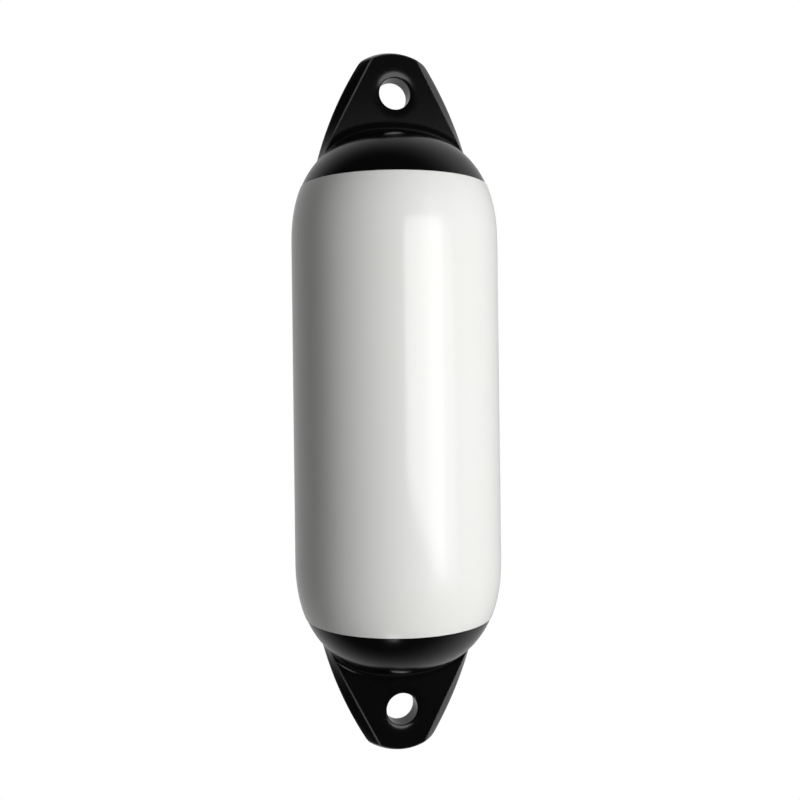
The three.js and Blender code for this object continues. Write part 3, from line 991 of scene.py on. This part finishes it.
class FENDER_OT_valve(bpy.types.Operator):
    """Builds the inflation valve: the bush, the slotted plug and the seal ring."""

    bl_idname = "fender.valve"
    bl_label = "Inflation valve"

    def execute(self, context):
        scene = context.scene
        body, end, valve = scene.fender_body, scene.fender_end, scene.fender_valve
        colours = scene.fender_colours
        at_valve = valve_matrix(body, end, valve)
        levels = valve_levels(valve, end.gap)
        self.bush(valve, end.gap, levels, at_valve, colours)
        self.plug(valve, end.gap, levels, at_valve, colours)
        self.ring(valve, end.gap, levels, at_valve, colours)
        return {"FINISHED"}

    def bush(self, valve, gap, levels, at_valve, colours):
        """The flanged bush, a profile turned round the valve's axis: down its outside and up its stepped
        bore."""
        bore, head_bore = valve.shank_radius + gap, valve.head_radius + gap
        barrel, flange = valve.barrel_radius, valve.flange_radius
        start = (barrel, (levels.flange_back + levels.barrel_end) / 2)
        corners = [start, (barrel, levels.flange_back), (flange, levels.flange_back), (flange, levels.face)]
        corners += [(head_bore, levels.face), (head_bore, levels.seat), (bore, levels.seat)]
        corners += [(bore, levels.barrel_end), (barrel, levels.barrel_end), start]
        profile = rounded(corners, BUSH_ROUNDINGS, steps=5)
        grid = placed(turned(profile, VALVE_TURN_STEPS), at_valve)
        bush = mesh_object("valve_bush", [grid], VALVE_SHARP_ANGLE)
        nylon = moulded_plastic(
            "satin_moulded_nylon", colours.nylon, roughness=0.42, ior=1.53, grain_size=0.8 * MM, strength=0.1
        )
        bush.data.materials.append(nylon)
        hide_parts("valve_body")
        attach(bush, "fender")

    def plug(self, valve, gap, levels, at_valve, colours):
        """The slotted plug: a turned head and tail, and between them the threaded shank. At turn a and height
        h the shank's radius is shank_radius less a groove, thread_depth times half of
        1 + cos(2 pi (h / thread_pitch) - a), which fades out at both ends."""
        head_top, head_back = levels.head_top, levels.head_back
        corners = [(0, head_top), (valve.head_radius, head_top), (valve.head_radius, head_back)]
        head = rounded([*corners, (valve.shank_radius, head_back)], HEAD_ROUNDINGS, steps=5)
        shank_end = head_back - valve.shank_length
        rows = np.linspace(head_back, shank_end + SHANK_CHAMFER, SHANK_ROWS)
        turn, height = np.meshgrid(np.linspace(0, 2 * math.pi, VALVE_TURN_STEPS + 1), rows)
        thread_top = head_back - valve.ring_section - 2 * gap
        fade_in = np.clip((thread_top - height) / THREAD_FADE, 0, 1)
        fade_out = np.clip((height - rows[-1]) / THREAD_FADE, 0, 1)
        phase = (height / valve.thread_pitch - turn / (2 * math.pi)) % 1
        groove = valve.thread_depth * fade_in * fade_out * (0.5 + 0.5 * np.cos(2 * math.pi * phase))
        radius = valve.shank_radius - groove
        shank = np.stack([radius * np.cos(turn), radius * np.sin(turn), height], axis=-1)
        shank[:, -1] = shank[:, 0]
        tail = [(valve.shank_radius, rows[-1]), (valve.shank_radius - SHANK_CHAMFER, shank_end)]
        tail.append((0, shank_end))
        grids = (turned(head, VALVE_TURN_STEPS), shank, turned(tail, VALVE_TURN_STEPS))
        plug = mesh_object("valve_plug", [placed(grid, at_valve) for grid in grids], VALVE_SHARP_ANGLE)
        combined(plug, self.slot_cutter(valve, head_top, at_valve), "DIFFERENCE")
        plug.data.set_sharp_from_angle(angle=VALVE_SHARP_ANGLE)
        plug.data.materials.clear()
        acetal = moulded_plastic(
            "semi_gloss_moulded_acetal",
            colours.acetal,
            roughness=0.3,
            ior=1.48,
            grain_size=1 * MM,
            strength=0.05,
        )
        plug.data.materials.append(acetal)
        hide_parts("valve_screw")
        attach(plug, "plug")

    def slot_cutter(self, valve, head_top, at_valve):
        """The bar that cuts the coin slot: a section with rounded lower corners, carried straight across the
        plug's head, with a fan of faces at each end."""
        half_width = valve.slot_width / 2
        top, floor = head_top + CUTTER_OVERSHOOT, head_top - valve.slot_depth
        corners = [(0, top), (half_width, top), (half_width, floor), (0, floor)]
        section = rounded(corners, SLOT_ROUNDINGS, steps=4)
        section = np.concatenate([section, (section * [-1, 1])[-2::-1]])
        half_length = valve.head_radius + CUTTER_OVERSHOOT
        across, height = section.T
        rims = [
            np.stack([np.full_like(across, along), across, height], axis=-1)
            for along in (-half_length, half_length)
        ]
        centres = [np.broadcast_to((rim[0, 0], 0, head_top), rim.shape) for rim in rims]
        grids = [np.stack(rims)] + [np.stack(pair) for pair in zip(rims, centres)]
        return mesh_object("slot", [placed(grid, at_valve) for grid in grids])

    def ring(self, valve, gap, levels, at_valve, colours):
        """The seal ring round the shank: a circle carried round the valve's axis."""
        half = valve.ring_section / 2
        turn = np.linspace(0, 2 * math.pi, RING_SECTION_STEPS + 1)
        turn[-1] = 0
        out = valve.shank_radius + gap + half + half * np.cos(turn)
        section = np.stack([out, levels.ring_centre + half * np.sin(turn)], axis=-1)
        ring = mesh_object("seal_ring", [placed(turned(section, VALVE_TURN_STEPS), at_valve)])
        rubber = moulded_plastic(
            "matt_seal_rubber", colours.rubber, roughness=0.65, ior=1.52, grain_size=0.5 * MM, strength=0.15
        )
        ring.data.materials.append(rubber)
        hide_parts("valve_seal_ring")
        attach(ring, "plug_lift")


# Studio

SENSOR_WIDTH = 36
FLOOR_RADIUS = 0.95
FLOOR_TURN_STEPS = 96
FLOOR_FADE_START, FLOOR_FADE_END = 0.45, 0.84
ROOM_RADIUS = 3
ROOM_STEPS = 24
BACKDROP_TURN = math.radians(165)
DARK_WALL_LEVEL = 0.02

# Each lamp's turn to the right round the fender's axis, from the camera's side, and its distance from it
KEY_TURN, KEY_DISTANCE = math.radians(41), 1.0
SOFTBOX_TURN, SOFTBOX_DISTANCE = math.radians(36), 0.9
LOW_TURN, LOW_DISTANCE = math.radians(-9), 0.335
BACK_TURN, BACK_DISTANCE = math.radians(155), 1.2

# The low lamp lies flat, and the others stand, with outlines (to the right, above the fender's middle)
LOW_HEIGHT, LOW_HALF_SIDE = -0.6, 45 * MM
KEY_OUTLINE = [(-0.16, 0.65), (-0.16, -0.5), (0.16, -0.5), (0.16, 0.65)]
SOFTBOX_OUTLINE = [(-0.439, -0.165), (0.224, -0.327), (0.224, 0.345)]
SOFTBOX_OUTLINE += [(0.1, 0.36), (-0.379, 0.36), (-0.439, 0.31)]
SOFTBOX_EDGE_OUTLINE = [(0.224, -0.327), (0.459, -0.41), (0.459, 0.2), (0.359, 0.3), (0.224, 0.345)]
BACK_OUTLINE = [(-0.17, 0.7), (-0.17, -0.6), (0.17, -0.6), (0.17, 0.7)]


def from_camera_side(azimuth, distance, height):
    """The point at that azimuth and distance round the fender's axis, and that far above its middle."""
    return Vector((distance * math.sin(azimuth), -distance * math.cos(azimuth), MIDDLE + height))


def upright_panel(name, turn, distance, outline, level):
    """A flat lamp that stands upright, across the line from the fender's axis to it. Its outline is given as
    (to the right, above the fender's middle), seen from the axis's other side."""
    right = np.array([math.cos(turn), math.sin(turn), 0])
    centre = np.array(from_camera_side(turn, distance, 0))
    outline = np.array(outline)
    points = centre + outline[:, :1] * right + outline[:, 1:] * [0, 0, 1]
    return lamp_object(name, points, Vector((-centre[0], -centre[1], 0)), level)


def lamp_object(name, points, towards, level):
    """A flat lamp with those corners, which shines only to the side that it is turned towards and isn't seen
    by the camera."""
    mesh = bpy.data.meshes.new(name)
    mesh.from_pydata(points, [], [list(range(len(points)))])
    if mesh.polygons[0].normal.dot(towards) < 0:
        mesh.flip_normals()
    material, tree = new_material(name + "_cloth")
    side = add_node(tree, "ShaderNodeNewGeometry").outputs["Backfacing"]
    glow = add_node(tree, "ShaderNodeEmission", values={"Strength": level})
    clear = add_node(tree, "ShaderNodeBsdfTransparent")
    mix = add_node(tree, "ShaderNodeMixShader", links={0: side, 1: glow.outputs[0], 2: clear.outputs[0]})
    add_node(tree, "ShaderNodeOutputMaterial", links={"Surface": mix.outputs[0]})
    mesh.materials.append(material)
    lamp = bpy.data.objects.new(name, mesh)
    bpy.context.scene.collection.objects.link(lamp)
    lamp.visible_camera = False
    lamp.visible_shadow = False
    return lamp


class FENDER_OT_studio(bpy.types.Operator):
    """Builds the studio: floor, background, lamps and camera."""

    bl_idname = "fender.studio"
    bl_label = "Studio"

    def execute(self, context):
        scene, studio = context.scene, context.scene.fender_studio
        scene.view_settings.view_transform = "Standard"
        self.background(scene)
        self.room(studio)
        self.floor(scene, studio)
        self.lamps(studio)
        self.camera(scene, studio)
        return {"FINISHED"}

    def background(self, scene):
        """White where the camera, a reflection or a clear piece sees past the studio."""
        world = bpy.data.worlds.new("white_background")
        world.use_nodes = True
        tree = world.node_tree
        tree.nodes.clear()
        path = add_node(tree, "ShaderNodeLightPath")
        seen = add_node(
            tree,
            "ShaderNodeMath",
            {"operation": "ADD"},
            links={0: path.outputs["Is Camera Ray"], 1: path.outputs["Is Glossy Ray"]},
        )
        seen = add_node(
            tree,
            "ShaderNodeMath",
            {"operation": "ADD", "use_clamp": True},
            links={0: seen.outputs[0], 1: path.outputs["Is Transmission Ray"]},
        )
        plain = {"Color": (1, 1, 1, 1), "Strength": 1.0}
        white = add_node(tree, "ShaderNodeBackground", values=plain)
        dim = add_node(
            tree, "ShaderNodeBackground", values={**plain, "Strength": scene.fender_studio.room_level}
        )
        mix = add_node(
            tree, "ShaderNodeMixShader", links={0: seen.outputs[0], 1: dim.outputs[0], 2: white.outputs[0]}
        )
        add_node(tree, "ShaderNodeOutputWorld", links={"Surface": mix.outputs[0]})
        scene.world = world

    def room(self, studio):
        """The studio's walls all round, a sphere that the camera doesn't see. They light the fender evenly,
        and its gloss shows them dark in front and paler the nearer they are to the back, a little to the
        right."""
        turn = np.linspace(-math.pi / 2, math.pi / 2, ROOM_STEPS + 1)
        profile = np.stack([ROOM_RADIUS * np.cos(turn), ROOM_RADIUS * np.sin(turn)], axis=-1)
        profile[[0, -1], 0] = 0
        walls = mesh_object("studio_walls", [placed(turned(profile, 2 * ROOM_STEPS), middle_to_frame())])
        material, tree = new_material("studio_wall")
        place = add_node(tree, "ShaderNodeTexCoord").outputs["Object"]
        onward = add_node(tree, "ShaderNodeVectorMath", {"operation": "NORMALIZE"}, links={0: place})
        away = from_camera_side(studio.camera_azimuth + BACKDROP_TURN, 1, -MIDDLE)
        behind = add_node(
            tree,
            "ShaderNodeVectorMath",
            {"operation": "DOT_PRODUCT"},
            {1: tuple(away)},
            {0: onward.outputs["Vector"]},
        )
        pale = add_node(
            tree,
            "ShaderNodeMapRange",
            {"interpolation_type": "SMOOTHSTEP"},
            {
                "From Min": -0.25,
                "From Max": 0.6,
                "To Min": DARK_WALL_LEVEL,
                "To Max": studio.backdrop_level,
            },
            {"Value": behind.outputs["Value"]},
        )
        path = add_node(tree, "ShaderNodeLightPath")
        level = add_node(
            tree,
            "ShaderNodeMix",
            {"data_type": "FLOAT"},
            {2: studio.room_level},
            {0: path.outputs["Is Glossy Ray"], 3: pale.outputs["Result"]},
        )
        glow = add_node(tree, "ShaderNodeEmission", links={"Strength": level.outputs[0]})
        add_node(tree, "ShaderNodeOutputMaterial", links={"Surface": glow.outputs[0]})
        walls.data.materials.append(material)
        walls.visible_camera = False
        walls.visible_shadow = False

    def floor(self, scene, studio):
        """A pale round floor that fades into the background at its edge."""
        level = LOWER_TIP - studio.floor_drop
        floor = mesh_object("floor", [turned([(0, level), (FLOOR_RADIUS, level)], FLOOR_TURN_STEPS)])
        material, tree = new_material("pale_studio_floor")
        place = add_node(tree, "ShaderNodeTexCoord").outputs["Object"]
        across = add_node(
            tree, "ShaderNodeVectorMath", {"operation": "MULTIPLY"}, {1: (1, 1, 0)}, {0: place}
        )
        from_axis = add_node(
            tree, "ShaderNodeVectorMath", {"operation": "LENGTH"}, links={0: across.outputs["Vector"]}
        )
        clear = add_node(
            tree,
            "ShaderNodeMapRange",
            {"interpolation_type": "SMOOTHSTEP"},
            {"From Min": FLOOR_FADE_START, "From Max": FLOOR_FADE_END},
            {"Value": from_axis.outputs["Value"]},
        )
        paper = add_node(
            tree, "ShaderNodeBsdfDiffuse", values={"Color": linear(scene.fender_colours.floor)}
        )
        gone = add_node(tree, "ShaderNodeBsdfTransparent")
        mix = add_node(
            tree,
            "ShaderNodeMixShader",
            links={0: clear.outputs["Result"], 1: paper.outputs[0], 2: gone.outputs[0]},
        )
        add_node(tree, "ShaderNodeOutputMaterial", links={"Surface": mix.outputs[0]})
        floor.data.materials.append(material)
        floor.visible_glossy = False

    def lamps(self, studio):
        """A soft key at the right front and a soft light behind, neither of which the gloss shows, and two
        lamps that only the gloss shows: the tall softbox that stands in the body's reflection, half as bright
        along its right edge, and a small low one."""
        front = studio.camera_azimuth
        lit = [("key_panel", KEY_TURN, KEY_DISTANCE, KEY_OUTLINE, studio.key_level)]
        lit.append(("back_panel", BACK_TURN, BACK_DISTANCE, BACK_OUTLINE, studio.back_level))
        for name, turn, distance, outline, level in lit:
            upright_panel(name, front + turn, distance, outline, level).visible_glossy = False

        mirrored = [("softbox_core", SOFTBOX_OUTLINE, studio.softbox_level)]
        mirrored.append(("softbox_edge", SOFTBOX_EDGE_OUTLINE, studio.softbox_level / 2))
        for name, outline, level in mirrored:
            lamp = upright_panel(name, front + SOFTBOX_TURN, SOFTBOX_DISTANCE, outline, level)
            lamp.visible_diffuse = False

        corners = np.array([(-1, -1, 0), (1, -1, 0), (1, 1, 0), (-1, 1, 0)]) * LOW_HALF_SIDE
        points = np.array(from_camera_side(front + LOW_TURN, LOW_DISTANCE, LOW_HEIGHT)) + corners
        low_panel = lamp_object("low_panel", points, Vector((0, 0, 1)), studio.softbox_level)
        low_panel.visible_diffuse = False

    def camera(self, scene, studio):
        """The camera at the photograph's angle, level but for its small roll."""
        data = bpy.data.cameras.new("camera")
        data.lens = studio.focal_length
        data.sensor_width = SENSOR_WIDTH
        data.shift_x = studio.shift_across
        data.shift_y = studio.shift_up
        camera = bpy.data.objects.new("camera", data)
        camera.location = from_camera_side(
            studio.camera_azimuth, studio.camera_distance, studio.camera_rise
        )
        level = Euler((math.pi / 2, 0, studio.camera_azimuth)).to_matrix()
        roll = Matrix.Rotation(-studio.camera_roll, 3, "Z")
        camera.rotation_euler = (level @ roll).to_euler()
        scene.collection.objects.link(camera)
        scene.camera = camera


class FENDER_PT_panel(bpy.types.Panel):
    """Lists the fender's pieces, sizes and colours."""

    bl_idname = "FENDER_PT_panel"
    bl_label = "Pneumatic fender"
    bl_space_type = "VIEW_3D"
    bl_region_type = "UI"
    bl_category = PANEL_TAB

    def draw(self, context):
        layout = self.layout
        for operator in OPERATORS:
            layout.operator(operator.bl_idname)
        for group in SETTINGS:
            box = layout.box()
            values = getattr(context.scene, group)
            for name in values.bl_rna.properties.keys():
                if name not in {"rna_type", "name"}:
                    box.prop(values, name)


SETTINGS = {
    "fender_body": FenderBodySizes,
    "fender_end": FenderEndSizes,
    "fender_valve": FenderValveSizes,
    "fender_colours": FenderColours,
    "fender_studio": FenderStudio,
}
OPERATORS = (FENDER_OT_body, FENDER_OT_ends, FENDER_OT_valve, FENDER_OT_studio)
CLASSES = (*SETTINGS.values(), *OPERATORS, FENDER_PT_panel)


def register():
    for cls in CLASSES:
        bpy.utils.register_class(cls)
    for name, group in SETTINGS.items():
        setattr(bpy.types.Scene, name, bpy.props.PointerProperty(type=group))


def unregister():
    for name in SETTINGS:
        delattr(bpy.types.Scene, name)
    for cls in reversed(CLASSES):
        bpy.utils.unregister_class(cls)


def main():
    """Builds the fender and its studio."""
    register()
    for operator in OPERATORS:
        group, name = operator.bl_idname.split(".")
        getattr(getattr(bpy.ops, group), name)()


if __name__ == "__main__":
    main()
